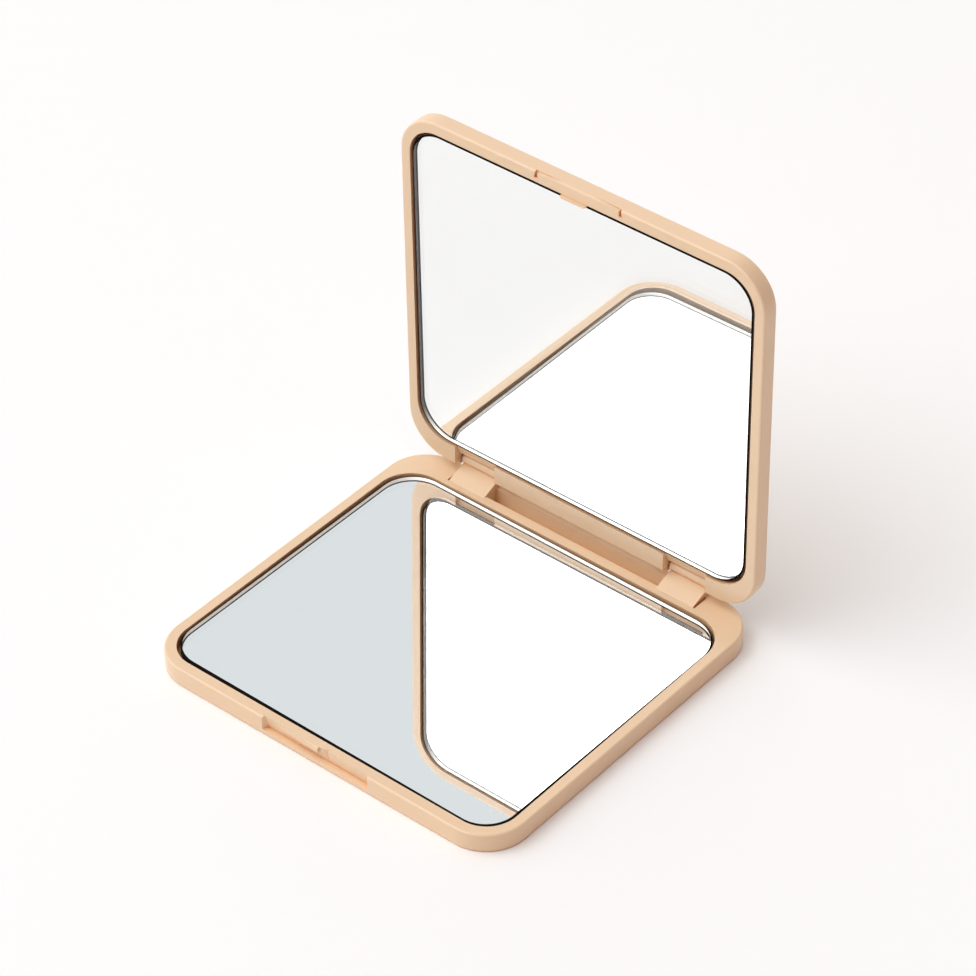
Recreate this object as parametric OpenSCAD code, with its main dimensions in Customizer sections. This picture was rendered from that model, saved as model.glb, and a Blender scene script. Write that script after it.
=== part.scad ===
// Slim square compact mirror, standing open at about a right angle.
// Origin: middle of the base footprint on the table. X runs along the hinge line,
// Y from the thumb recess to the hinge, Z up. Sizes in millimetres.

/* [Case] */
// width along the hinge line
case_w = 75; // [73:0.5:78]
// depth from thumb recess to hinge side
case_d = 71; // [69.5:0.5:74]
// thickness of the base half
base_t = 3.7; // [3.6:0.1:4.2]
// thickness of the lid half
lid_t = 3.2; // [3.2:0.1:3.6]
// radius of the four corners seen from above
corner_r = 8; // [7.8:0.1:8.6]
// rounding along all outer edges
edge_r = 0.4; // [0.3:0.05:0.5]
// gap between the two rims when shut
rim_gap = 0.1; // [0.1:0.05:0.2]

/* [Mirrors] */
// rim width at the thumb side
rim_front = 2.1; // [2.0:0.1:2.4]
// rim width at both sides
rim_side = 2; // [1.95:0.05:2.3]
// rim width at the hinge side of the base
base_rim_back = 6.15; // [6:0.05:6.6]
// rim width at the hinge side of the lid
lid_rim_back = 3.85; // [3.8:0.05:4.3]
// opening corner radius at the thumb side
open_r_front = 6; // [5.6:0.1:6.4]
// opening corner radius at the hinge side
open_r_back = 6.65; // [6.2:0.05:7.0]
// thickness of each glass plate
glass_t = 1.8; // [1.6:0.1:1.8]
// how far the glass lies below the rim
glass_set = 0.4; // [0.3:0.05:0.45]
// thickness of each mounting pad
pad_t = 0.15; // [0.1:0.05:0.2]
// gap all round each glass plate
glass_gap = 0.12; // [0.08:0.02:0.2]

/* [Hinge] */
// angle between the halves in this pose
open_angle = 89; // [60:0.5:120]
// hinge line in from the back face
axis_in = 0.4; // [0.3:0.05:0.5]
// hinge line above the base rim
axis_up = 2.3; // [2.25:0.05:2.35]
// radius of the barrels round the pins
barrel_r = 0.95; // [0.85:0.05:0.95]
// width of each base lug
lug_w = 7.8; // [7.2:0.1:8]
// middle of each lug from the centre line
lug_x = 22.75; // [22:0.25:24]
// where the lug ramp starts, in from the back face
ramp_in = 5; // [4.8:0.1:5.4]
// rise of the lug ramp for each millimetre
ramp_slope = 0.375; // [0.3:0.005:0.38]
// length of each outer lid knuckle
outer_len = 3; // [2.5:0.25:4]
// length of each inner lid knuckle
inner_len = 3.5; // [3:0.25:5]
// how far the heel of a knuckle reaches behind the hinge line
heel_out = 1.2; // [1.1:0.05:1.3]
// diameter of the hinge pins
pin_d = 1.0; // [0.8:0.05:1.1]
// running gap between pin and lid knuckle
pin_play = 0.05; // [0.03:0.01:0.08]
// gap beside the lug toward the middle
gap_inner = 0.5; // [0.4:0.05:0.9]
// gap beside the lug toward the outside
gap_outer = 0.6; // [0.5:0.05:1.2]
// how far the lid notch reaches in
notch_in = 1.8; // [1.75:0.05:2.2]
// gap above the lug ramp when shut
ramp_gap = 0.2; // [0.15:0.05:0.3]
// width of the slot in the base rim beside each lug
slot_w = 0.35; // [0.3:0.05:0.4]
// depth of that slot
slot_deep = 1; // [0.8:0.1:1.2]

/* [Thumb side] */
// half width of the thumb recess
thumb_half = 10.7; // [9.2:0.1:13]
// height of the ledge below the thumb recess
ledge_h = 1.05; // [0.9:0.05:1.4]
// set-back of the recess at the rim
thumb_top = 0.56; // [0.5:0.02:0.7]
// set-back of the recess at the ledge
thumb_low = 1.06; // [0.9:0.02:1.2]
// splay of the recess ends
thumb_splay = 0.6; // [0.4:0.1:0.8]
// half width between the lid slits
slit_half = 8.5; // [7.5:0.1:9]
// length of each slit
slit_len = 1.35; // [1.2:0.05:1.6]
// half width of the latch tab
tab_half = 2.6; // [2:0.05:3]
// how far the latch tab stands out of the lid rim
tab_out = 0.35; // [0.25:0.05:0.35]

/* [Hidden] */
$fn = 64;
back_y = case_d / 2;
front_y = -case_d / 2;
// a cut overshoots the face it opens by this much
over = 0.5;
// hinge line
axis_y = back_y - axis_in;
axis_z = base_t + axis_up;
// rim plane and outer face of the shut lid
lid_z = base_t + rim_gap;
lid_top = lid_z + lid_t;
// mirror openings
open_w = case_w - 2 * rim_side;
base_open_d = case_d - rim_front - base_rim_back;
lid_open_d = case_d - rim_front - lid_rim_back;
base_open_y = (rim_front - base_rim_back) / 2;
lid_open_y = (rim_front - lid_rim_back) / 2;
pocket_t = glass_set + glass_t + pad_t;
pad_inset = 3;
// faces beside each lug, measured from the centre line
lug_in = lug_x - lug_w / 2;
lug_out = lug_x + lug_w / 2;
notch_x0 = lug_in - gap_inner;
notch_x1 = lug_out + gap_outer;
// the lug's back slope, below the rim and below the hinge line
lug_root = 0.8;
lug_waist = 0.3;
// core-out channel in the hinge-side rim of the base
channel_in = 4.4;
channel_out = 1.55;
channel_floor = 0.8;
// pins
pin_hide = 0.25;
pin_x0 = notch_x0 - inner_len + 2 * pin_hide;
pin_x1 = notch_x1 + outer_len - pin_hide;
// nick in the thumb recess
nick_x0 = 0.7;
nick_x1 = 2.5;
nick_in = 1.14;
nick_deep = 1.9;
nick_shallow = 0.5;
// lip that swells out of the recess toward the nick
lip_x0 = -8;
lip_set = 0.12;
lip_h = 1;
slit_w = 0.35;
slit_wide = 0.7;
slit_rise = 0.5;
// the tongue between the slits is set in beside them
tongue_in = 0.3;
tongue_half = 3;
tab_root = 1.2;
// latch tab left of the centre line, as seen
tab_mid = -0.8;
tab_in = 2.75;
tab_clear = 0.15;
tab_r = 0.45;

// half cross-section of a rounded-edge plate, out from its centre line
module edge_section(half, t) {
    translate([0, edge_r])
        square([half, t - 2 * edge_r]);
    square([half - edge_r, t]);
    translate([half - edge_r, edge_r])
        circle(r = edge_r);
    translate([half - edge_r, t - edge_r])
        circle(r = edge_r);
}

module full_section(w, t) {
    edge_section(w / 2, t);
    mirror([1, 0])
        edge_section(w / 2, t);
}

// rounded-square plate with rounded edges, standing on z = 0
module case_plate(t) {
    run_x = case_w - 2 * corner_r;
    run_y = case_d - 2 * corner_r;
    rotate([90, 0, 0])
        linear_extrude(height = run_y, center = true)
            full_section(case_w, t);
    rotate([90, 0, 90])
        linear_extrude(height = run_x, center = true)
            full_section(case_d, t);
    for (sx = [-1, 1])
        for (sy = [-1, 1])
            translate([sx * run_x / 2, sy * run_y / 2, 0])
                rotate_extrude()
                    edge_section(corner_r, t);
}

// outline of a mirror opening, pulled in all round by inset
module open_outline(d, inset) {
    w = open_w - 2 * inset;
    dd = d - 2 * inset;
    rf = open_r_front - inset;
    rb = open_r_back - inset;
    translate([-w / 2, rf - dd / 2])
        square([w, dd - rf - rb]);
    translate([rf - w / 2, -dd / 2])
        square([w - 2 * rf, dd / 2]);
    translate([rb - w / 2, 0])
        square([w - 2 * rb, dd / 2]);
    for (side = [-1, 1]) {
        translate([side * (w / 2 - rf), rf - dd / 2])
            circle(r = rf);
        translate([side * (w / 2 - rb), dd / 2 - rb])
            circle(r = rb);
    }
}

// a section drawn in depth and height, run along the hinge line
module along_x(len) {
    rotate([90, 0, 90])
        linear_extrude(height = len, center = true)
            children();
}

// cylinder on the hinge line between two distances from the centre line
module on_axis(x0, x1, r) {
    translate([x0, axis_y, axis_z])
        rotate([0, 90, 0])
            cylinder(h = x1 - x0, r = r);
}

// lug side view: ramp, round barrel and the slope down the back
module lug_section() {
    polygon([
        [back_y - ramp_in, base_t],
        [back_y - ramp_in, base_t - lug_root],
        [back_y, base_t - lug_root],
        [axis_y + barrel_r, axis_z - lug_waist],
        [axis_y, axis_z],
        [axis_y, base_t + ramp_slope * (ramp_in - axis_in)]
    ]);
    translate([axis_y, axis_z])
        circle(r = barrel_r);
}

// thumb recess: sloping back wall, splayed ends, and the lip left standing
module thumb_cut() {
    rise = base_t - ledge_h;
    lean = (thumb_low - thumb_top) / rise;
    end_x = thumb_half + thumb_splay;
    difference() {
        intersection() {
            along_x(2 * end_x)
                polygon([
                    [front_y - over, ledge_h],
                    [front_y + thumb_low, ledge_h],
                    [front_y + thumb_top - over * lean, base_t + over],
                    [front_y - over, base_t + over]
                ]);
            translate([0, front_y, 0])
                linear_extrude(height = base_t + 2 * over)
                    polygon([
                        [-end_x, -over],
                        [end_x, -over],
                        [end_x, 0],
                        [thumb_half, thumb_low],
                        [-thumb_half, thumb_low],
                        [-end_x, 0]
                    ]);
        }
        translate([0, front_y, base_t - lip_h])
            linear_extrude(height = lip_h + 2 * over)
                polygon([
                    [lip_x0, thumb_top],
                    [nick_x0, lip_set],
                    [nick_x0, thumb_low + over],
                    [lip_x0, thumb_low + over]
                ]);
    }
}

// nick at the end of the lip: slopes in from the left, sharp wall on the right
module nick_cut() {
    intersection() {
        translate([0, front_y, 0])
            linear_extrude(height = base_t + over)
                polygon([
                    [nick_x0, lip_set - over],
                    [nick_x0, lip_set],
                    [nick_x1, nick_in],
                    [nick_x1, lip_set - over]
                ]);
        translate([0, front_y, 0])
            rotate([90, 0, 0])
                linear_extrude(height = 2 * nick_in, center = true)
                    polygon([
                        [nick_x0, base_t + over],
                        [nick_x0, base_t - nick_shallow],
                        [nick_x1 - nick_shallow, base_t - nick_deep],
                        [nick_x1, base_t - nick_deep],
                        [nick_x1, base_t + over]
                    ]);
    }
}

module channel_cut() {
    translate([-lug_in, back_y - channel_in, channel_floor])
        cube([2 * lug_in, channel_in - channel_out, base_t]);
}

// narrow slot in the base rim along the outer side of a lug
module slot_cut(side) {
    translate([side * (lug_out + slot_w / 2), back_y - (ramp_in + channel_out) / 2, base_t])
        cube([slot_w, ramp_in - channel_out, 2 * slot_deep], center = true);
}

module base_shell() {
    color("peachpuff")
        difference() {
            union() {
                case_plate(base_t);
                for (side = [-1, 1])
                    translate([side * lug_x, 0, 0])
                        along_x(lug_w)
                            lug_section();
            }
            translate([0, base_open_y, base_t - pocket_t])
                linear_extrude(height = pocket_t + over)
                    open_outline(base_open_d, 0);
            thumb_cut();
            nick_cut();
            channel_cut();
            for (side = [-1, 1])
                slot_cut(side);
            on_axis(-lug_out - over, lug_out + over, pin_d / 2);
        }
}

// relief in the lid rim over the lug ramp, and the notch round the barrel
module lid_notch_section() {
    relief_out = back_y - lid_rim_back - glass_gap;
    polygon([
        [relief_out, lid_z - over],
        [relief_out, base_t + ramp_gap + ramp_slope * (relief_out - back_y + ramp_in)],
        [back_y - notch_in, base_t + ramp_gap + ramp_slope * (ramp_in - notch_in)],
        [back_y - notch_in, lid_top + over],
        [back_y + over, lid_top + over],
        [back_y + over, lid_z - over]
    ]);
}

// slit in the free edge of the lid, and the set-in edge of the tongue beside it
module slit_cut(side) {
    translate([0, front_y, lid_z - over])
        linear_extrude(height = slit_rise + over) {
            polygon([
                [side * (slit_half - slit_w / 2), -over],
                [side * (slit_half + slit_w / 2), -over],
                [side * (slit_half + slit_wide - slit_w / 2), slit_len],
                [side * (slit_half - slit_w / 2), slit_len]
            ]);
            polygon([
                [side * slit_half, -over],
                [side * slit_half, tongue_in],
                [side * tongue_half, 0],
                [side * tongue_half, -over]
            ]);
        }
}

// plan of the latch tab from one depth inward, with round inner corners
module tab_plan(start) {
    translate([-tab_half, start])
        square([2 * tab_half, tab_in - tab_r - start]);
    translate([tab_r - tab_half, start])
        square([2 * (tab_half - tab_r), tab_in - start]);
    for (side = [-1, 1])
        translate([side * (tab_half - tab_r), tab_in - tab_r])
            circle(r = tab_r);
}

// latch tab: grows from the lid rim over the glass and stands out in front of it
module latch_tab() {
    translate([tab_mid, front_y, lid_z])
        linear_extrude(height = glass_set - tab_clear)
            tab_plan(tab_root);
    translate([tab_mid, front_y, lid_z - tab_out])
        linear_extrude(height = tab_out + glass_set - tab_clear)
            intersection() {
                tab_plan(rim_front);
                translate([-tab_half, rim_front + tab_clear])
                    square([2 * tab_half, tab_in]);
            }
}

module lid_shell_shut() {
    difference() {
        union() {
            translate([0, 0, lid_z])
                case_plate(lid_t);
            for (side = [-1, 1]) {
                translate([side * (notch_x1 + outer_len / 2), 0, 0])
                    knuckle(outer_len);
                translate([side * (notch_x0 - inner_len / 2), 0, 0])
                    knuckle(inner_len);
            }
        }
        translate([0, lid_open_y, lid_z - over])
            linear_extrude(height = pocket_t + over)
                open_outline(lid_open_d, 0);
        for (side = [-1, 1]) {
            translate([side * (notch_x0 + notch_x1) / 2, 0, 0])
                along_x(notch_x1 - notch_x0)
                    lid_notch_section();
            slit_cut(side);
        }
        on_axis(pin_x0 - pin_hide, pin_x1 + over, pin_d / 2 + pin_play);
        on_axis(-pin_x1 - over, pin_hide - pin_x0, pin_d / 2 + pin_play);
    }
    latch_tab();
}

// lid knuckle: a barrel with a square heel that closes the gap under it when open
module knuckle(len) {
    translate([-len / 2, 0, 0])
        on_axis(0, len, barrel_r);
    translate([-len / 2, axis_y, axis_z - barrel_r])
        cube([len, heel_out, 2 * barrel_r]);
}

// turn the shut lid about the hinge line into this pose
module open_lid() {
    translate([0, axis_y, axis_z])
        rotate([-open_angle, 0, 0])
            translate([0, -axis_y, -axis_z])
                children();
}

module lid_shell() {
    color("peachpuff")
        open_lid()
            lid_shell_shut();
}

module base_mirror() {
    color("lightsteelblue")
        translate([0, base_open_y, base_t - glass_set - glass_t])
            linear_extrude(height = glass_t)
                open_outline(base_open_d, glass_gap);
}

module lid_mirror() {
    color("lightsteelblue")
        open_lid()
            translate([0, lid_open_y, lid_z + glass_set])
                linear_extrude(height = glass_t)
                    open_outline(lid_open_d, glass_gap);
}

module base_pad() {
    color("white")
        translate([0, base_open_y, base_t - pocket_t])
            linear_extrude(height = pad_t)
                open_outline(base_open_d, pad_inset);
}

module lid_pad() {
    color("white")
        open_lid()
            translate([0, lid_open_y, lid_z + glass_set + glass_t])
                linear_extrude(height = pad_t)
                    open_outline(lid_open_d, pad_inset);
}

module hinge_pin_left() {
    color("silver")
        on_axis(-pin_x1, -pin_x0, pin_d / 2);
}

module hinge_pin_right() {
    color("silver")
        on_axis(pin_x0, pin_x1, pin_d / 2);
}

base_shell();
lid_shell();
base_mirror();
lid_mirror();
base_pad();
lid_pad();
hinge_pin_left();
hinge_pin_right();
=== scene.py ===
"""Square compact mirror, open at a right angle.

Satin plastic halves, silvered glass plates with ground edges, foam pads and steel pins.
"""

import logging
import math
from dataclasses import dataclass
from enum import Enum

import bpy
from mathutils import Matrix, Vector


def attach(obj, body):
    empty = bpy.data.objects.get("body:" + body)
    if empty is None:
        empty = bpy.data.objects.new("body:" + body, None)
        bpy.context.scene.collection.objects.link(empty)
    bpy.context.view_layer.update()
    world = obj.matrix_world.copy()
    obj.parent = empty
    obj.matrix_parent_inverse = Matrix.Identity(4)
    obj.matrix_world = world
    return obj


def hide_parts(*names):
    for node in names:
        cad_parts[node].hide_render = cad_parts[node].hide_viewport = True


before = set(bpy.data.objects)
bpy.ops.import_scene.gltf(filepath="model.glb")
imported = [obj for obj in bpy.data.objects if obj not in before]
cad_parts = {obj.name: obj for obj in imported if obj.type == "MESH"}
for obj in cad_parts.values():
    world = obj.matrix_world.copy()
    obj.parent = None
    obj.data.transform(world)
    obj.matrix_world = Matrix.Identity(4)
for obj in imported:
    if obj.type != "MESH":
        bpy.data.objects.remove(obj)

MM = 0.001
log = logging.getLogger("compact_mirror")

Triple = tuple[float, float, float]
Colour = Triple
Pair = tuple[float, float]
Socket = bpy.types.NodeSocket
WHITE: Colour = (1.0, 1.0, 1.0)
UNIT: Pair = (0.0, 1.0)


class Half(Enum):
    """The two halves of the case, named as the bodies they move with."""

    BASE = "base"
    LID = "lid"


class Slot(Enum):
    """Slots that the finishes belong to."""

    SHELL = "shell_plastic"
    MIRROR = "mirror_glass"
    PAD = "pad_foam"
    PIN = "pin_steel"


def srgb(red: int, green: int, blue: int) -> Colour:
    """Linear colour of an 8-bit sRGB one.

    Args:
        red: Red, 0 to 255.
        green: Green, 0 to 255.
        blue: Blue, 0 to 255.

    Returns:
        The three linear parts.
    """

    def part(level: int) -> float:
        """One linear part."""
        share = level / 255
        return share / 12.92 if share <= 0.04045 else ((share + 0.055) / 1.055) ** 2.4

    return part(red), part(green), part(blue)


@dataclass
class Graph:
    """A node tree being filled, with short ways to add nodes and links."""

    tree: bpy.types.NodeTree

    MIX_LOW = 6
    MIX_HIGH = 7
    MIX_RESULT = 2

    def add(self, kind: str, **values: object) -> bpy.types.Node:
        """Adds a node.

        Args:
            kind: Blender's name of the node type.
            **values: Properties of the node.

        Returns:
            The node.
        """
        node = self.tree.nodes.new(kind)
        for name, value in values.items():
            setattr(node, name, value)
        return node

    def join(self, source: Socket, target: Socket) -> None:
        """Links one socket to another."""
        self.tree.links.new(source, target)

    def feed(self, source: Socket | Colour | float, target: Socket) -> None:
        """Links a socket to another, or gives it a plain colour or number.

        Args:
            source: The socket, colour or number.
            target: The socket that takes it.
        """
        if isinstance(source, Socket):
            self.join(source, target)
        else:
            target.default_value = (*source, 1) if isinstance(source, tuple) else source

    def mix(self, mask: Socket, low: Socket | Colour, high: Socket | Colour) -> Socket:
        """Colour that runs from one to another with a mask.

        Args:
            mask: The mask, 0 to 1.
            low: Colour at 0.
            high: Colour at 1.

        Returns:
            The colour socket.
        """
        node = self.add("ShaderNodeMix", data_type="RGBA")
        self.join(mask, node.inputs[0])
        self.feed(low, node.inputs[self.MIX_LOW])
        self.feed(high, node.inputs[self.MIX_HIGH])
        return node.outputs[self.MIX_RESULT]

    def calc(self, operation: str, *terms: Socket | float) -> Socket:
        """Number worked out from others.

        Args:
            operation: Blender's name of the operation.
            *terms: Its terms in order.

        Returns:
            The number socket.
        """
        node = self.add("ShaderNodeMath", operation=operation)
        for term, target in zip(terms, node.inputs):
            self.feed(term, target)
        return node.outputs[0]

    def span(
        self, value: Socket, run: Pair = UNIT, ends: Pair = UNIT, way: str = "LINEAR"
    ) -> Socket:
        """Number that runs between two ends while a value makes its run, and stays there beyond.

        Args:
            value: The value.
            run: Where its run starts and stops.
            ends: What comes out at both.
            way: Blender's name of the interpolation.

        Returns:
            The number socket.
        """
        node = self.add("ShaderNodeMapRange", interpolation_type=way)
        self.join(value, node.inputs["Value"])
        for number, limit in enumerate((*run, *ends), start=1):
            node.inputs[number].default_value = limit
        return node.outputs["Result"]

    def parts(self, vector: Socket) -> bpy.types.Node:
        """Node that gives the X, Y and Z of a vector."""
        node = self.add("ShaderNodeSeparateXYZ")
        self.join(vector, node.inputs[0])
        return node


class ShaderGroups:
    """The node groups that several finishes share. Each is built once."""

    PIT_SHARE = 0.35
    HAIRLINE_TURN = (0.3, 0.2, 0.7)
    HAIRLINE_STRETCH = (1.0, 22.0, 6.0)
    HAIRLINE_CUT = (0.63, 0.72)

    @staticmethod
    def _start(
        name: str, inputs: dict[str, float], outputs: tuple[str, ...]
    ) -> tuple[Graph, bpy.types.Node, bpy.types.Node]:
        """Makes an empty group with a Vector input and named number sockets.

        Args:
            name: Name of the group.
            inputs: Number inputs and their values.
            outputs: Names of the number outputs.

        Returns:
            The graph, the group's input node and its output node.
        """
        tree = bpy.data.node_groups.new(name, "ShaderNodeTree")
        tree.interface.new_socket("Vector", in_out="INPUT", socket_type="NodeSocketVector")
        for label, value in inputs.items():
            socket = tree.interface.new_socket(label, in_out="INPUT", socket_type="NodeSocketFloat")
            socket.default_value = value
        for label in outputs:
            tree.interface.new_socket(label, in_out="OUTPUT", socket_type="NodeSocketFloat")
        graph = Graph(tree)
        return graph, graph.add("NodeGroupInput"), graph.add("NodeGroupOutput")

    @staticmethod
    def _noise(graph: Graph, place: Socket, scale: Socket, detail: float, rough: float) -> Socket:
        """Adds noise.

        Args:
            graph: The group's graph.
            place: Where it is read.
            scale: Its cells per metre.
            detail: Its octaves.
            rough: How much the finer octaves count.

        Returns:
            The noise, 0 to 1.
        """
        node = graph.add("ShaderNodeTexNoise")
        node.inputs["Detail"].default_value = detail
        node.inputs["Roughness"].default_value = rough
        graph.join(place, node.inputs["Vector"])
        graph.join(scale, node.inputs["Scale"])
        return node.outputs["Fac"]

    @staticmethod
    def _cells(graph: Graph, place: Socket, scale: Socket, feature: str) -> Socket:
        """Adds Voronoi cells.

        Args:
            graph: The group's graph.
            place: Where they are read.
            scale: Cells per metre.
            feature: Blender's name of the distance that is wanted.

        Returns:
            The distance from a cell's middle.
        """
        node = graph.add("ShaderNodeTexVoronoi", feature=feature)
        graph.join(place, node.inputs["Vector"])
        graph.join(scale, node.inputs["Scale"])
        return node.outputs["Distance"]

    @classmethod
    def moulded_grain(cls) -> bpy.types.NodeTree:
        """Fine spark-eroded grain and slow cloudiness of a moulded surface.

        Returns:
            Group with Grain Scale and Cloud Scale in, Height and Cloud out.
        """
        name = "moulded_grain"
        if name in bpy.data.node_groups:
            return bpy.data.node_groups[name]
        scales = {"Grain Scale": 6000.0, "Cloud Scale": 60.0}
        graph, start, end = cls._start(name, scales, ("Height", "Cloud"))
        place, grain, cloud = start.outputs[:3]
        fine = cls._noise(graph, place, grain, detail=3.0, rough=0.6)
        pits = cls._cells(graph, place, grain, "SMOOTH_F1")
        slow = cls._noise(graph, place, cloud, detail=2.0, rough=0.45)
        graph.join(graph.calc("MULTIPLY_ADD", pits, cls.PIT_SHARE, fine), end.inputs["Height"])
        graph.join(slow, end.inputs["Cloud"])
        return graph.tree

    @classmethod
    def handling_marks(cls) -> bpy.types.NodeTree:
        """Faint hairlines and dust specks from handling.

        Returns:
            Group with Hairline Scale, Dust Scale and Dust Size in, Hairlines and Dust out.
        """
        name = "handling_marks"
        if name in bpy.data.node_groups:
            return bpy.data.node_groups[name]
        sizes = {"Hairline Scale": 40.0, "Dust Scale": 150.0, "Dust Size": 0.05}
        graph, start, end = cls._start(name, sizes, ("Hairlines", "Dust"))
        place, lines, dust, speck = start.outputs[:4]
        turn = graph.add("ShaderNodeMapping")
        turn.inputs["Rotation"].default_value = cls.HAIRLINE_TURN
        turn.inputs["Scale"].default_value = cls.HAIRLINE_STRETCH
        graph.join(place, turn.inputs["Vector"])
        drawn = cls._noise(graph, turn.outputs["Vector"], lines, detail=2.0, rough=0.5)
        graph.join(graph.span(drawn, cls.HAIRLINE_CUT), end.inputs["Hairlines"])
        apart = cls._cells(graph, place, dust, "F1")
        graph.join(graph.calc("LESS_THAN", apart, speck), end.inputs["Dust"])
        return graph.tree


@dataclass(frozen=True)
class Wear:
    """Handling marks.

    Attributes:
        lines: Hairlines per metre.
        dust: Dust cells per metre.
        speck: Size of a speck as a share of its cell.
    """

    lines: float
    dust: float
    speck: float


@dataclass(frozen=True)
class Finish:
    """What every finish has: a name and the slot it belongs to."""

    name: str
    slot: Slot

    def _shader(self) -> tuple[bpy.types.Material, Graph, bpy.types.Node, Socket]:
        """Starts the material.

        Returns:
            The material, its graph, its Principled shader and the place on the object.
        """
        material = bpy.data.materials.new(self.name)
        material.use_nodes = True
        graph = Graph(material.node_tree)
        shader = material.node_tree.nodes["Principled BSDF"]
        return material, graph, shader, graph.add("ShaderNodeTexCoord").outputs["Object"]

    @staticmethod
    def _set(shader: bpy.types.Node, values: dict[str, float]) -> None:
        """Sets sockets of the shader that are the same all over."""
        for name, value in values.items():
            shader.inputs[name].default_value = value

    @staticmethod
    def _marks(graph: Graph, place: Socket, wear: Wear) -> bpy.types.Node:
        """Adds the shared handling marks.

        Args:
            graph: The material's graph.
            place: Where they are read.
            wear: Their sizes.

        Returns:
            The group node.
        """
        node = graph.add("ShaderNodeGroup", node_tree=ShaderGroups.handling_marks())
        node.inputs["Hairline Scale"].default_value = wear.lines
        node.inputs["Dust Scale"].default_value = wear.dust
        node.inputs["Dust Size"].default_value = wear.speck
        graph.join(place, node.inputs["Vector"])
        return node

    @staticmethod
    def _emboss(
        graph: Graph, shader: bpy.types.Node, height: Socket, strength: float, depth: float
    ) -> None:
        """Raises the surface with a height.

        Args:
            graph: The material's graph.
            shader: The shader whose normal it feeds.
            height: The height.
            strength: Share of the bump that shows.
            depth: What a height of 1 stands for, in metres.
        """
        bump = graph.add("ShaderNodeBump")
        bump.inputs["Strength"].default_value = strength
        bump.inputs["Distance"].default_value = depth
        graph.join(height, bump.inputs["Height"])
        graph.join(bump.outputs["Normal"], shader.inputs["Normal"])

    def material(self) -> bpy.types.Material:
        """Builds the material. Each finish has its own."""
        raise NotImplementedError


@dataclass(frozen=True)
class GrainyFinish(Finish):
    """A finish with the shared grain.

    Attributes:
        grain_cells: Cells of the grain per metre.
        cloud_cells: Cells of the slow cloudiness per metre.
        roughness: Roughness at both ends of the mask that drives it.
        bump: Share of the grain's bump that shows.
        depth: Depth of the grain in metres.
    """

    grain_cells: float
    cloud_cells: float
    roughness: Pair
    bump: float
    depth: float

    def _grain(self, graph: Graph, place: Socket) -> bpy.types.Node:
        """Adds the shared grain.

        Args:
            graph: The material's graph.
            place: Where it is read.

        Returns:
            The group node.
        """
        node = graph.add("ShaderNodeGroup", node_tree=ShaderGroups.moulded_grain())
        node.inputs["Grain Scale"].default_value = self.grain_cells
        node.inputs["Cloud Scale"].default_value = self.cloud_cells
        graph.join(place, node.inputs["Vector"])
        return node

    def _sheen(self, graph: Graph, mask: Socket) -> Socket:
        """Roughness that follows a mask."""
        return graph.span(mask, ends=self.roughness)

    def _dress(
        self,
        graph: Graph,
        shader: bpy.types.Node,
        grain: bpy.types.Node,
        colour: Socket,
        rough: Socket | None = None,
    ) -> None:
        """Links a colour, a roughness and the grain's bump to the shader.

        Args:
            graph: The material's graph.
            shader: Its shader.
            grain: Its grain.
            colour: The colour.
            rough: The roughness, or None for a sheen that follows the cloud.
        """
        if rough is None:
            rough = self._sheen(graph, grain.outputs["Cloud"])
        graph.join(colour, shader.inputs["Base Color"])
        graph.join(rough, shader.inputs["Roughness"])
        self._emboss(graph, shader, grain.outputs["Height"], self.bump, self.depth)


@dataclass(frozen=True)
class SatinPlastic(GrainyFinish):
    """Pale peach moulded plastic with a satin grain, and painted shade: a deeper orange tone in its
    nooks.

    Attributes:
        light: Its colour where the cloud is full.
        deep: Its colour where there is none.
        painted_nook_shade: Its colour in a nook, painted shade where walls block the light.
        painted_shade_reach: How near a wall makes a nook, in metres.
        painted_shade_span: How open a place is where the painted shade is full, and where it is
            gone.
        wear: Its handling marks.
        polish: What a hairline adds to the roughness.
    """

    name: str = "satin_peach_plastic"
    slot: Slot = Slot.SHELL
    grain_cells: float = 7000.0
    cloud_cells: float = 45.0
    roughness: Pair = (0.27, 0.36)
    bump: float = 0.35
    depth: float = 0.006 * MM
    light: Colour = srgb(239, 211, 178)
    deep: Colour = srgb(236, 206, 170)
    painted_nook_shade: Colour = srgb(230, 154, 88)
    painted_shade_reach: float = 1.3 * MM
    painted_shade_span: Pair = (0.15, 0.62)
    wear: Wear = Wear(lines=55.0, dust=240.0, speck=0.035)
    polish: float = -0.02

    def material(self) -> bpy.types.Material:
        """Cloudy peach colour with painted shade in its nooks, uneven sheen, fine grain."""
        material, graph, shader, place = self._shader()
        grain = self._grain(graph, place)
        # Painted shade: occlusion turns the colour a deeper orange in nooks, creases and between
        # parts.
        air = graph.add("ShaderNodeAmbientOcclusion", samples=6)
        air.inputs["Distance"].default_value = self.painted_shade_reach
        exposed = graph.span(air.outputs["AO"], self.painted_shade_span)
        plain = graph.mix(grain.outputs["Cloud"], self.deep, self.light)
        tone = graph.mix(exposed, self.painted_nook_shade, plain)
        lines = self._marks(graph, place, self.wear).outputs["Hairlines"]
        sheen = self._sheen(graph, grain.outputs["Cloud"])
        worn = graph.calc("MULTIPLY_ADD", lines, self.polish, sheen)
        self._dress(graph, shader, grain, tone, worn)
        self._set(shader, {"IOR": 1.49, "Specular IOR Level": 0.6})
        return material


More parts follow.
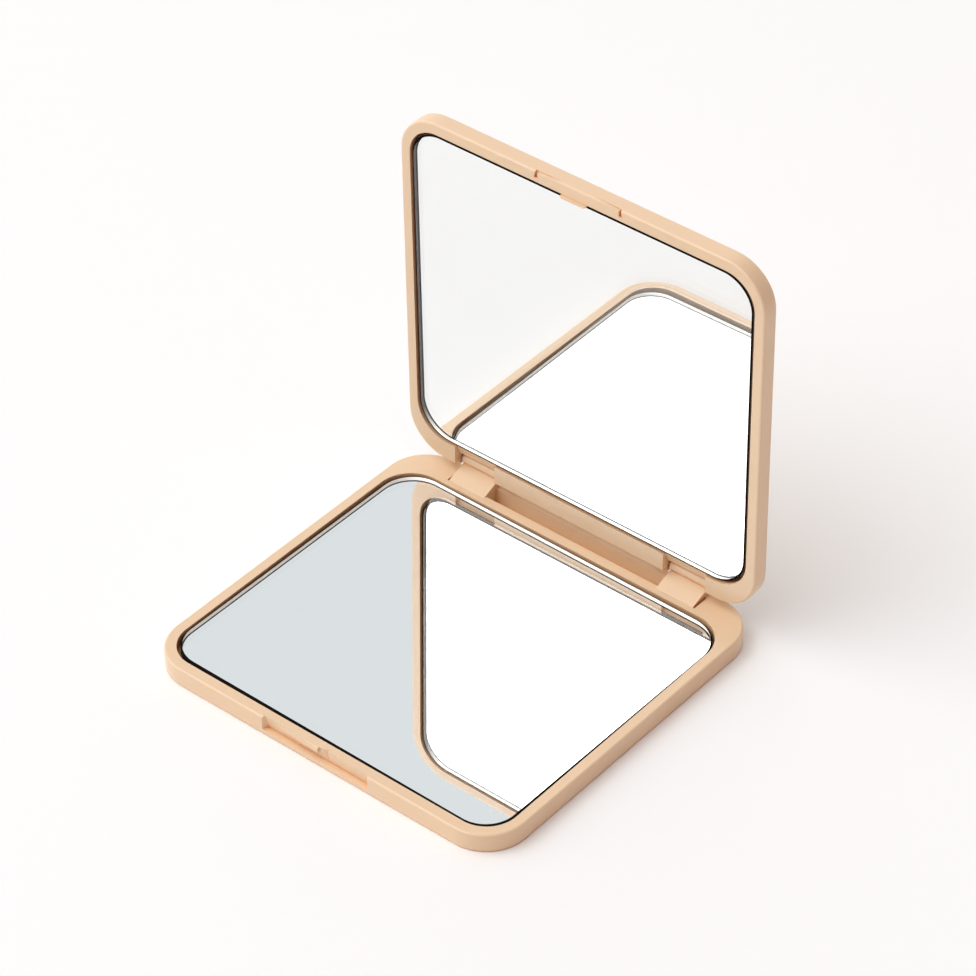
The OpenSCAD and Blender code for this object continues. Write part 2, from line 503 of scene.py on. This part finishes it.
@dataclass(frozen=True)
class ClearGlass(Finish):
    """Polished faces of the float glass.

    Attributes:
        tint: Its colour.
        dusty: Its colour where dust lies.
        dull: Its roughness there.
        wear: Its handling marks.
    """

    name: str = "clear_glass"
    slot: Slot = Slot.MIRROR
    tint: Colour = (0.965, 0.975, 0.97)
    dusty: Colour = (0.9, 0.9, 0.89)
    dull: float = 0.12
    wear: Wear = Wear(lines=18.0, dust=90.0, speck=0.018)

    def material(self) -> bpy.types.Material:
        """Glass whose polish is dulled only where dust lies."""
        material, graph, shader, place = self._shader()
        dust = self._marks(graph, place, self.wear).outputs["Dust"]
        graph.join(graph.span(dust, ends=(0.0, self.dull)), shader.inputs["Roughness"])
        graph.join(graph.mix(dust, self.tint, self.dusty), shader.inputs["Base Color"])
        self._set(shader, {"IOR": 1.52, "Transmission Weight": 1.0})
        return material


@dataclass(frozen=True)
class GroundGlass(GrainyFinish):
    """Ground edge of the glass, dull, with fine wheel marks.

    Attributes:
        pale: Its colour where the cloud is full.
        grey: Its colour where there is none.
        side: Its colour on the left and right sides, painted shade where they face away from the
            light.
        painted_side_shade_run: How far a place faces sideways where that painted shade starts, and
            where it is full.
        outside: Its colour seen from outside the glass, dark as painted shade of the narrow gap
            round the glass.
        painted_glow: Painted light, a glow that stands in for light soaking in from outside and
            showing through the glass.
        painted_side_glow: The same painted glow on the left and right sides.
        painted_glow_tint: Colour of that painted glow.
    """

    name: str = "ground_glass_edge"
    slot: Slot = Slot.MIRROR
    grain_cells: float = 9000.0
    cloud_cells: float = 900.0
    roughness: Pair = (0.6, 0.9)
    bump: float = 0.4
    depth: float = 0.01 * MM
    pale: Colour = srgb(250, 252, 251)
    grey: Colour = srgb(228, 233, 231)
    side: Colour = srgb(205, 186, 168)
    painted_side_shade_run: Pair = (0.45, 0.95)
    outside: Colour = srgb(24, 21, 20)
    painted_glow: float = 0.75
    painted_side_glow: float = 0.35
    painted_glow_tint: Colour = (1.0, 0.96, 0.92)

    def material(self) -> bpy.types.Material:
        """Ground surface, dark outside as painted shade and glowing inward as painted light, with
        less glow and painted shade on its left and right sides.
        """
        material, graph, shader, place = self._shader()
        grain = self._grain(graph, place)
        where = graph.add("ShaderNodeNewGeometry")
        across = graph.calc("ABSOLUTE", graph.parts(where.outputs["True Normal"]).outputs["X"])
        at_side = graph.span(across, self.painted_side_shade_run)
        ends = graph.mix(grain.outputs["Cloud"], self.grey, self.pale)
        # Painted shade: the left and right sides of the edge get a darker colour, as if facing away
        # from the light.
        within = graph.mix(at_side, ends, self.side)
        inner = where.outputs["Backfacing"]
        # Painted shade: seen from outside, the edge takes the dark colour of the shade in the gap
        # round the glass.
        tone = graph.mix(inner, self.outside, within)
        self._dress(graph, shader, grain, tone, self._sheen(graph, grain.outputs["Height"]))
        # Painted light: the inner side of the edge glows, less so on its left and right sides.
        painted_glow_level = graph.span(at_side, ends=(self.painted_glow, self.painted_side_glow))
        graph.join(graph.calc("MULTIPLY", inner, painted_glow_level), shader.inputs["Emission Strength"])
        graph.feed(self.painted_glow_tint, shader.inputs["Emission Color"])
        self._set(shader, {"Specular IOR Level": 0.2})
        return material


@dataclass(frozen=True)
class DarkArris(GrainyFinish):
    """Narrow bevel round the face of the glass, dark."""

    name: str = "dark_arris"
    slot: Slot = Slot.MIRROR
    grain_cells: float = 4000.0
    cloud_cells: float = 500.0
    roughness: Pair = (0.75, 0.6)
    bump: float = 0.3
    depth: float = 0.01 * MM
    dark: Colour = srgb(16, 15, 15)
    paler: Colour = srgb(34, 30, 28)

    def material(self) -> bpy.types.Material:
        """Dark colour that is less dark in places."""
        material, graph, shader, place = self._shader()
        grain = self._grain(graph, place)
        arris_tone = graph.mix(grain.outputs["Cloud"], self.paler, self.dark)
        self._dress(graph, shader, grain, arris_tone)
        self._set(shader, {"Specular IOR Level": 0.0})
        return material


@dataclass(frozen=True)
class Silvering(Finish):
    """Silver coat behind the glass.

    Attributes:
        cloud_cells: Cells of its slow unevenness per metre.
        bright: Its colour where the cloud is full.
        dull: Its colour where there is none.
        lean: Slope of its shading away from the glass, upward on the object.
    """

    name: str = "silver_coat"
    slot: Slot = Slot.MIRROR
    cloud_cells: float = 25.0
    bright: Colour = (0.955, 0.96, 0.96)
    dull: Colour = (0.935, 0.94, 0.94)
    lean: float = 0.0

    def material(self) -> bpy.types.Material:
        """Bright coat with a very slow unevenness."""
        material, graph, shader, place = self._shader()
        cloud = graph.add("ShaderNodeGroup", node_tree=ShaderGroups.moulded_grain())
        cloud.inputs["Cloud Scale"].default_value = self.cloud_cells
        graph.join(place, cloud.inputs["Vector"])
        coat = graph.mix(cloud.outputs["Cloud"], self.dull, self.bright)
        graph.join(coat, shader.inputs["Base Color"])
        self._set(shader, {"Metallic": 1.0, "Roughness": 0.0})
        if self.lean:
            self._emboss(graph, shader, graph.parts(place).outputs["Z"], 1.0, self.lean)
        return material


@dataclass(frozen=True)
class BackPaint(GrainyFinish):
    """Dark paint that seals the silver from behind."""

    name: str = "backing_paint"
    slot: Slot = Slot.MIRROR
    grain_cells: float = 2500.0
    cloud_cells: float = 200.0
    roughness: Pair = (0.45, 0.6)
    bump: float = 0.3
    depth: float = 0.01 * MM
    dark: Colour = srgb(38, 40, 42)
    worn: Colour = srgb(62, 62, 60)

    def material(self) -> bpy.types.Material:
        """Dark grey paint with a rolled texture."""
        material, graph, shader, place = self._shader()
        grain = self._grain(graph, place)
        self._dress(graph, shader, grain, graph.mix(grain.outputs["Cloud"], self.dark, self.worn))
        return material


@dataclass(frozen=True)
class PadFoam(GrainyFinish):
    """Thin white foam tape."""

    name: str = "foam_tape"
    slot: Slot = Slot.PAD
    grain_cells: float = 4000.0
    cloud_cells: float = 300.0
    roughness: Pair = (0.85, 0.95)
    bump: float = 0.7
    depth: float = 0.03 * MM
    pale: Colour = srgb(236, 235, 230)
    shade: Colour = srgb(214, 212, 204)

    def material(self) -> bpy.types.Material:
        """Open white foam with small cells."""
        material, graph, shader, place = self._shader()
        grain = self._grain(graph, place)
        self._dress(graph, shader, grain, graph.mix(grain.outputs["Height"], self.shade, self.pale))
        return material


@dataclass(frozen=True)
class PinSteel(GrainyFinish):
    """Drawn stainless wire, with a grain stretched along it."""

    name: str = "drawn_steel_wire"
    slot: Slot = Slot.PIN
    grain_cells: float = 9000.0
    cloud_cells: float = 2500.0
    roughness: Pair = (0.22, 0.4)
    bump: float = 0.2
    depth: float = 0.004 * MM
    bright: Colour = srgb(200, 200, 198)
    dull: Colour = srgb(168, 167, 164)
    stretch: Triple = (0.05, 1.0, 1.0)

    def material(self) -> bpy.types.Material:
        """Bright metal with drawing lines along its length."""
        material, graph, shader, place = self._shader()
        along = graph.add("ShaderNodeMapping")
        along.inputs["Scale"].default_value = self.stretch
        graph.join(place, along.inputs["Vector"])
        grain = self._grain(graph, along.outputs["Vector"])
        self._dress(graph, shader, grain, graph.mix(grain.outputs["Cloud"], self.dull, self.bright))
        self._set(shader, {"Metallic": 1.0})
        return material


class FinishShelf:
    """Keeps one material of each finish."""

    def __init__(self) -> None:
        """Starts with nothing made."""
        self._made: dict[str, bpy.types.Material] = {}

    def take(self, finish: Finish) -> bpy.types.Material:
        """The finish's material, made the first time it is asked for.

        Args:
            finish: The finish.

        Returns:
            Its material.
        """
        if finish.name not in self._made:
            self._made[finish.name] = finish.material()
        return self._made[finish.name]

    def coat(self, node: str, finish: Finish) -> None:
        """Gives a CAD node one finish all over.

        Args:
            node: Name of the node.
            finish: The finish.
        """
        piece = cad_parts[node]
        if not piece.data.materials:
            piece.data.materials.append(self.take(finish))
        for slot in piece.material_slots:
            slot.material = self.take(finish)
        log.info("%s: %s", node, finish.name)


class PlateTree:
    """Geometry Nodes tree of a flat plate with a bevel round its face.

    Its corner radius at the front differs from the one at the back.
    """

    NAME = "mirror_plate"
    NUMBERS = (
        "Width", "Depth", "Front Radius", "Back Radius", "Thickness", "Bevel", "Face Scale"
    )
    FINISHES = ("Face Finish", "Edge Finish", "Back Finish", "Bevel Finish")
    CORNER_STEPS = 32
    WELD = 0.001 * MM

    @classmethod
    def get(cls) -> bpy.types.NodeTree:
        """Builds the tree once.

        Returns:
            The tree, with number inputs in metres, the scale that draws the face in for its
            bevel, and one material each for the face, the edge, the back and the bevel.
        """
        if cls.NAME in bpy.data.node_groups:
            return bpy.data.node_groups[cls.NAME]
        tree = bpy.data.node_groups.new(cls.NAME, "GeometryNodeTree")
        sockets = [("Geometry", "NodeSocketGeometry")]
        sockets += [(label, "NodeSocketFloat") for label in cls.NUMBERS]
        sockets += [(label, "NodeSocketMaterial") for label in cls.FINISHES]
        for label, kind in sockets:
            tree.interface.new_socket(label, in_out="INPUT", socket_type=kind)
        tree.interface.new_socket("Geometry", in_out="OUTPUT", socket_type="NodeSocketGeometry")
        graph = Graph(tree)
        start = graph.add("NodeGroupInput")
        sheet = cls._sheet(graph, start)
        raised = cls._extrude(graph, sheet, start.outputs["Thickness"])
        sloped = cls._extrude(graph, raised.outputs["Mesh"], start.outputs["Bevel"])
        graph.join(raised.outputs["Top"], sloped.inputs["Selection"])
        drawn_in = graph.add("GeometryNodeScaleElements", domain="FACE")
        graph.join(sloped.outputs["Mesh"], drawn_in.inputs["Geometry"])
        graph.join(sloped.outputs["Top"], drawn_in.inputs["Selection"])
        graph.join(start.outputs["Face Scale"], drawn_in.inputs["Scale"])
        face = cls._coat(graph, drawn_in.outputs["Geometry"], start.outputs["Face Finish"])
        edge = cls._coat(graph, face, start.outputs["Edge Finish"], raised.outputs["Side"])
        bevel = cls._coat(graph, edge, start.outputs["Bevel Finish"], sloped.outputs["Side"])
        under = graph.add("GeometryNodeFlipFaces")
        graph.join(sheet, under.inputs["Mesh"])
        back = cls._coat(graph, under.outputs["Mesh"], start.outputs["Back Finish"])
        both = graph.add("GeometryNodeJoinGeometry")
        for side in (back, bevel):
            graph.join(side, both.inputs["Geometry"])
        weld = graph.add("GeometryNodeMergeByDistance")
        weld.inputs["Distance"].default_value = cls.WELD
        real = graph.add("GeometryNodeRealizeInstances")
        end = graph.add("NodeGroupOutput")
        graph.join(both.outputs["Geometry"], weld.inputs["Geometry"])
        graph.join(weld.outputs["Geometry"], real.inputs["Geometry"])
        graph.join(real.outputs["Geometry"], end.inputs["Geometry"])
        return tree

    @classmethod
    def _sheet(cls, graph: Graph, start: bpy.types.Node) -> Socket:
        """Adds the flat outline with its rounded corners, filled.

        Args:
            graph: The tree's graph.
            start: Its input node.

        Returns:
            The mesh socket.
        """
        outline = graph.add("GeometryNodeCurvePrimitiveQuadrilateral", mode="RECTANGLE")
        graph.join(start.outputs["Width"], outline.inputs["Width"])
        graph.join(start.outputs["Depth"], outline.inputs["Height"])
        at_back = graph.add("FunctionNodeCompare", data_type="FLOAT", operation="GREATER_THAN")
        place = graph.add("GeometryNodeInputPosition")
        graph.join(graph.parts(place.outputs[0]).outputs["Y"], at_back.inputs[0])
        radius = graph.add("GeometryNodeSwitch", input_type="FLOAT")
        graph.join(at_back.outputs[0], radius.inputs["Switch"])
        graph.join(start.outputs["Front Radius"], radius.inputs["False"])
        graph.join(start.outputs["Back Radius"], radius.inputs["True"])
        corners = graph.add("GeometryNodeFilletCurve", mode="POLY")
        corners.inputs["Count"].default_value = cls.CORNER_STEPS
        corners.inputs["Limit Radius"].default_value = True
        graph.join(outline.outputs["Curve"], corners.inputs["Curve"])
        graph.join(radius.outputs[0], corners.inputs["Radius"])
        sheet = graph.add("GeometryNodeFillCurve", mode="NGONS")
        graph.join(corners.outputs["Curve"], sheet.inputs["Curve"])
        return sheet.outputs["Mesh"]

    @staticmethod
    def _extrude(graph: Graph, mesh: Socket, height: Socket) -> bpy.types.Node:
        """Adds a step that raises faces as one.

        Args:
            graph: The tree's graph.
            mesh: The mesh.
            height: How far they rise.

        Returns:
            The node, with the Mesh, the Top and the Side that it makes.
        """
        node = graph.add("GeometryNodeExtrudeMesh", mode="FACES")
        node.inputs["Individual"].default_value = False
        graph.join(mesh, node.inputs["Mesh"])
        graph.join(height, node.inputs["Offset Scale"])
        return node

    @staticmethod
    def _coat(graph: Graph, mesh: Socket, finish: Socket, faces: Socket | None = None) -> Socket:
        """Adds a step that gives faces their finish.

        Args:
            graph: The tree's graph.
            mesh: The mesh.
            finish: The material.
            faces: The faces, or None for all of them.

        Returns:
            The mesh socket.
        """
        node = graph.add("GeometryNodeSetMaterial")
        graph.join(mesh, node.inputs["Geometry"])
        graph.join(finish, node.inputs["Material"])
        if faces is not None:
            graph.join(faces, node.inputs["Selection"])
        return node.outputs["Geometry"]


@dataclass
class MirrorPane:
    """One mirror: a glass plate with ground edges and a silvered back, and the paint behind it.

    Attributes:
        half: The half that it sits in.
        node: The solid that it stands for.
        shelf: Where its finishes come from.
        front_radius: Corner radius at the thumb side.
        back_radius: Corner radius at the hinge side.
        glass: Thickness of the glass. Paint and backing fill the rest of the solid.
        paint_gap: Gap between the glass and the paint.
        arris: Width of the bevel round the face.
        arris_drop: Height of that bevel.
        side_trim: How far the left and right edges stay inside the solid's.
        end_trim: The same at the thumb side and the hinge side.
        proud: How far the face stands above the solid's.
        slide: How far the plate lies toward the hinge.
        skew: How far it is turned in its recess, in degrees.
        open_angle: Angle between the halves at rest, in degrees.
        silvering: Its silver.
        ground: Its ground edge.
    """

    half: Half
    node: str
    shelf: FinishShelf
    front_radius: float = 5.88 * MM
    back_radius: float = 6.53 * MM
    glass: float = 1.05 * MM
    paint_gap: float = 0.005 * MM
    arris: float = 0.3 * MM
    arris_drop: float = 0.12 * MM
    side_trim: float = 0.28 * MM
    end_trim: float = 0.28 * MM
    proud: float = 0.25 * MM
    slide: float = 0.05 * MM
    skew: float = 0.0
    open_angle: float = 89
    silvering: Silvering = Silvering()
    ground: GroundGlass = GroundGlass()

    def _turn(self) -> Matrix:
        """Turn from plate space (face up, hinge side at +Y) to how this half stands."""
        if self.half is Half.BASE:
            return Matrix.Identity(4)
        leant_back = Matrix.Rotation(math.radians(180 - self.open_angle), 4, "X")
        return leant_back @ Matrix.Rotation(math.pi, 4, "Z")

    def _seat(self) -> tuple[Matrix, Vector]:
        """Where the plate lies, from its solid.

        Returns:
            The matrix from plate space to the object, and the width, depth and thickness.
        """
        turn = self._turn()
        back = turn.inverted()
        points = [back @ vertex.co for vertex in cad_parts[self.node].data.vertices]
        low = Vector(min(point[axis] for point in points) for axis in range(3))
        high = Vector(max(point[axis] for point in points) for axis in range(3))
        middle = (low + high) / 2
        return turn @ Matrix.Translation((middle.x, middle.y, low.z)), high - low

    def _plate(self, name: str, size: Vector, finishes: tuple[Finish, ...]) -> bpy.types.Object:
        """Makes one plate with the tree, lying on z = 0.

        Args:
            name: Name of the piece.
            size: Width, depth and thickness in metres.
            finishes: Finish of its face, its edge, its back and the bevel round its face.

        Returns:
            The piece, with a plain mesh.
        """
        carrier = bpy.data.objects.new(name, bpy.data.meshes.new(name))
        bpy.context.scene.collection.objects.link(carrier)
        nodes = carrier.modifiers.new("plate", "NODES")
        nodes.node_group = PlateTree.get()
        upright = size.z - self.arris_drop
        face_scale = 1 - 2 * self.arris / size.x
        radii = (self.front_radius, self.back_radius)
        numbers = (size.x, size.y, *radii, upright, self.arris_drop, face_scale)
        values = dict(zip(PlateTree.NUMBERS, numbers))
        values.update(zip(PlateTree.FINISHES, (self.shelf.take(finish) for finish in finishes)))
        for item in nodes.node_group.interface.items_tree:
            if item.in_out == "INPUT" and item.name in values:
                nodes[item.identifier] = values[item.name]
        depsgraph = bpy.context.evaluated_depsgraph_get()
        carrier.data = bpy.data.meshes.new_from_object(carrier.evaluated_get(depsgraph))
        carrier.modifiers.clear()
        carrier.data.name = name
        self._drop_empty_slot(carrier.data)
        return carrier

    @staticmethod
    def _drop_empty_slot(mesh: bpy.types.Mesh) -> None:
        """Takes out the empty first material slot that the tree leaves.

        Args:
            mesh: The mesh.
        """
        used = [mesh.materials[face.material_index] for face in mesh.polygons]
        kept = [material for material in mesh.materials if material]
        mesh.materials.clear()
        for material in kept:
            mesh.materials.append(material)
        for face, material in zip(mesh.polygons, used):
            face.material_index = kept.index(material)

    def build(self) -> None:
        """Makes the plate and the paint, and sets them where the solid lies."""
        seat, size = self._seat()
        coat = size.z + self.proud - self.glass
        width, depth = size.x - 2 * self.side_trim, size.y - 2 * self.end_trim
        skew = Matrix.Rotation(math.radians(self.skew), 4, "Z")
        seat = seat @ Matrix.Translation((0, self.slide, 0)) @ skew
        glass = self._plate(
            f"{self.half.value}_glass",
            Vector((width, depth, self.glass)),
            (ClearGlass(), self.ground, self.silvering, DarkArris()),
        )
        backing = self._plate(
            f"{self.half.value}_backing",
            Vector((width, depth, coat - self.paint_gap)),
            (BackPaint(),) * len(PlateTree.FINISHES),
        )
        glass.data.transform(seat @ Matrix.Translation((0, 0, coat)))
        backing.data.transform(seat)
        for piece in (glass, backing):
            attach(piece, self.half.value)
            log.info("%s: %.1f x %.1f mm", piece.name, width / MM, depth / MM)
        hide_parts(self.node)


@dataclass
class CaseHalf:
    """One plastic half with its foam pad."""

    shell: str
    pad: str
    shelf: FinishShelf

    def dress(self) -> None:
        """Gives the shell and the pad their finishes."""
        self.shelf.coat(self.shell, SatinPlastic())
        self.shelf.coat(self.pad, PadFoam())


@dataclass
class HingePins:
    """The two steel pins in the lugs."""

    nodes: tuple[str, str]
    shelf: FinishShelf

    def dress(self) -> None:
        """Gives both pins their finish."""
        for node in self.nodes:
            self.shelf.coat(node, PinSteel())


@dataclass(frozen=True)
class Softbox:
    """One soft square lamp that faces the object.

    Attributes:
        name: Its name.
        toward: Direction from the object to the lamp.
        size: Side of its square in metres.
        level: Brightness of its face, where 1 is white.
        away: Distance in metres.
    """

    name: str
    toward: Triple
    size: float
    level: float
    away: float = 3.0

    def hang(self) -> None:
        """Makes the lamp."""
        light = bpy.data.lights.new(self.name, "AREA")
        light.shape = "SQUARE"
        light.size = self.size
        light.energy = self.level * math.pi * self.size * self.size
        lamp = bpy.data.objects.new(self.name, light)
        bpy.context.scene.collection.objects.link(lamp)
        toward = Vector(self.toward)
        lamp.location = toward.normalized() * self.away
        lamp.rotation_mode = "QUATERNION"
        lamp.rotation_quaternion = (-toward).to_track_quat("-Z", "Y")
        lamp.visible_camera = False


@dataclass
class Studio:
    """Pale table, soft light and the camera.

    Attributes:
        table_half: Half the side of the table in metres.
        table_low: Colour of the table where the cloud is empty.
        table_high: Colour of the table where it is full.
        table_cells: Cells per metre of the table's grain and of its cloudiness.
        table_rough: Its roughness.
        table_gloss: Its specular level.
        veil: Strength of a faint light on the table that is only seen and lights nothing.
        veil_tint: Colour of that light.
        lamps: The lamps.
        wall_front: Colour of the wall that mirrors show toward the front.
        wall_back: Colour of the wall that they show toward the back.
        wall_run: Where the one turns into the other.
        room_left: Light from the room on the left.
        room_right: Light from the room on the right.
        room_run: Where the one turns into the other.
        room_back: Light from behind.
        back_run: Where that starts and is full.
        back_loss: How much of it the right side lacks.
        lens: Focal length in millimetres.
        sensor: Width of the sensor in millimetres.
        eye: Place of the camera in metres.
        right: Direction to the right of the picture.
        down: Direction down the picture.
        forward: Direction of view.
    """

    table_half: float = 3.0
    table_low: Colour = (0.958, 0.966, 0.972)
    table_high: Colour = (0.966, 0.974, 0.98)
    table_cells: Pair = (900.0, 8.0)
    table_rough: float = 0.9
    table_gloss: float = 0.1
    veil: float = 0.05
    veil_tint: Colour = (0.25, 0.75, 1.0)
    lamps: tuple[Softbox, ...] = (
        Softbox("key_softbox", (-0.59, -0.49, 0.64), size=2.8, level=1.0),
        Softbox("overhead_softbox", (-0.2, -0.32, 0.93), size=3.2, level=1.54),
    )
    wall_front: Colour = (1.08, 1.08, 1.08)
    wall_back: Colour = srgb(228, 232, 235)
    wall_run: Pair = (-0.25, 0.35)
    room_left: Colour = (0.62, 0.62, 0.62)
    room_right: Colour = (0.27, 0.1458, 0.0972)
    room_run: Pair = (-0.5, 0.5)
    room_back: Colour = (0.95, 0.95, 0.95)
    back_run: Pair = (0.1, 0.75)
    back_loss: float = 0.8
    lens: float = 149.72
    sensor: float = 36.0
    eye: Triple = (0.32764, -0.38746, 0.45158)
    right: Triple = (0.772205, 0.635367, -0.002764)
    down: Triple = (0.401429, -0.491246, -0.773002)
    forward: Triple = (-0.492498, 0.595807, -0.634398)

    @staticmethod
    def _seen(graph: Graph) -> Socket:
        """1 for rays that come straight from the camera, off a gloss or through glass."""
        path = graph.add("ShaderNodeLightPath").outputs
        mirrored = graph.calc("MAXIMUM", path["Is Camera Ray"], path["Is Glossy Ray"])
        return graph.calc("MAXIMUM", mirrored, path["Is Transmission Ray"])

    def build_table(self) -> None:
        """Makes the table top."""
        mesh = bpy.data.meshes.new("table_top")
        turns = ((-1, -1), (1, -1), (1, 1), (-1, 1))
        spots = [(x * self.table_half, y * self.table_half, 0) for x, y in turns]
        mesh.from_pydata(spots, [], [(0, 1, 2, 3)])
        table = bpy.data.objects.new("table_top", mesh)
        bpy.context.scene.collection.objects.link(table)
        material = bpy.data.materials.new("white_table")
        material.use_nodes = True
        graph = Graph(material.node_tree)
        shader = material.node_tree.nodes["Principled BSDF"]
        grain = graph.add("ShaderNodeGroup", node_tree=ShaderGroups.moulded_grain())
        grain.inputs["Grain Scale"].default_value = self.table_cells[0]
        grain.inputs["Cloud Scale"].default_value = self.table_cells[1]
        graph.join(graph.add("ShaderNodeTexCoord").outputs["Object"], grain.inputs["Vector"])
        paper = graph.mix(grain.outputs["Cloud"], self.table_low, self.table_high)
        graph.join(paper, shader.inputs["Base Color"])
        shader.inputs["Roughness"].default_value = self.table_rough
        shader.inputs["Specular IOR Level"].default_value = self.table_gloss
        veil = graph.calc("MULTIPLY", self._seen(graph), self.veil)
        graph.join(veil, shader.inputs["Emission Strength"])
        graph.feed(self.veil_tint, shader.inputs["Emission Color"])
        mesh.materials.append(material)

    def build_world(self) -> None:
        """Makes the room: even light, and white or blue-grey walls where they are seen."""
        world = bpy.data.worlds.new("studio")
        bpy.context.scene.world = world
        world.use_nodes = True
        world.node_tree.nodes.clear()
        graph = Graph(world.node_tree)
        toward = graph.parts(graph.add("ShaderNodeTexCoord").outputs["Generated"]).outputs
        to_wall = graph.span(toward["Y"], self.wall_run, way="SMOOTHSTEP")
        walls = graph.mix(to_wall, self.wall_front, self.wall_back)
        straight = graph.add("ShaderNodeLightPath").outputs["Is Camera Ray"]
        to_right = graph.span(toward["X"], self.room_run, way="SMOOTHSTEP")
        room = graph.mix(to_right, self.room_left, self.room_right)
        to_back = graph.span(toward["Y"], self.back_run, way="SMOOTHSTEP")
        left_over = graph.calc("MULTIPLY_ADD", to_right, -self.back_loss, 1.0)
        behind = graph.calc("MULTIPLY", to_back, left_over)
        light = graph.add("ShaderNodeBackground")
        graph.join(graph.mix(behind, room, self.room_back), light.inputs["Color"])
        sight = graph.add("ShaderNodeBackground")
        graph.join(graph.mix(straight, walls, WHITE), sight.inputs["Color"])
        blend = graph.add("ShaderNodeMixShader")
        for target, source in enumerate((self._seen(graph), light.outputs[0], sight.outputs[0])):
            graph.join(source, blend.inputs[target])
        end = graph.add("ShaderNodeOutputWorld")
        graph.join(blend.outputs[0], end.inputs["Surface"])

    def build_camera(self) -> None:
        """Sets the camera at the photograph's angle."""
        data = bpy.data.cameras.new("photo_camera")
        data.lens = self.lens
        data.sensor_width = self.sensor
        data.clip_start = 10 * MM
        camera = bpy.data.objects.new("photo_camera", data)
        bpy.context.scene.collection.objects.link(camera)
        axes = Matrix((Vector(self.right), -Vector(self.down), -Vector(self.forward)))
        camera.matrix_world = Matrix.Translation(self.eye) @ axes.transposed().to_4x4()
        bpy.context.scene.camera = camera

    def build(self) -> None:
        """Builds the whole studio."""
        self.build_camera()
        self.build_table()
        self.build_world()
        for lamp in self.lamps:
            lamp.hang()
        bpy.context.scene.view_settings.view_transform = "Standard"
        log.info("studio: table, %d lamps, camera at %.1f mm", len(self.lamps), self.lens)


def corners(box: tuple[Vector, Vector]) -> list[list[float]]:
    """A box as plain lists."""
    return [list(corner) for corner in box]


def main() -> None:
    """Builds every sub-assembly in order."""
    logging.basicConfig(level=logging.INFO, format="%(name)s %(message)s")
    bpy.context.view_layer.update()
    shelf = FinishShelf()
    CaseHalf("base_shell", "base_pad", shelf).dress()
    CaseHalf("lid_shell", "lid_pad", shelf).dress()
    MirrorPane(
        Half.BASE,
        "base_mirror",
        shelf,
        arris=0.24 * MM,
        side_trim=0.2 * MM,
        end_trim=0.36 * MM,
        proud=0.05 * MM,
        slide=0.18 * MM,
        skew=-0.4,
    ).build()
    MirrorPane(
        Half.LID,
        "lid_mirror",
        shelf,
        slide=-0.05 * MM,
        silvering=Silvering(name="silver_coat_leaning", lean=-0.0076),
        # Painted shade: the lid's ground edges are much darker on their left and right sides, with
        # almost no painted glow there, and dark brown from outside.
        ground=GroundGlass(
            name="ground_glass_edge_painted_side_shade",
            side=srgb(112, 96, 87),
            painted_side_glow=0.05,
            outside=srgb(132, 112, 98),
        ),
    ).build()
    HingePins(("hinge_pin_left", "hinge_pin_right"), shelf).dress()
    Studio().build()


if __name__ == "__main__":
    main()
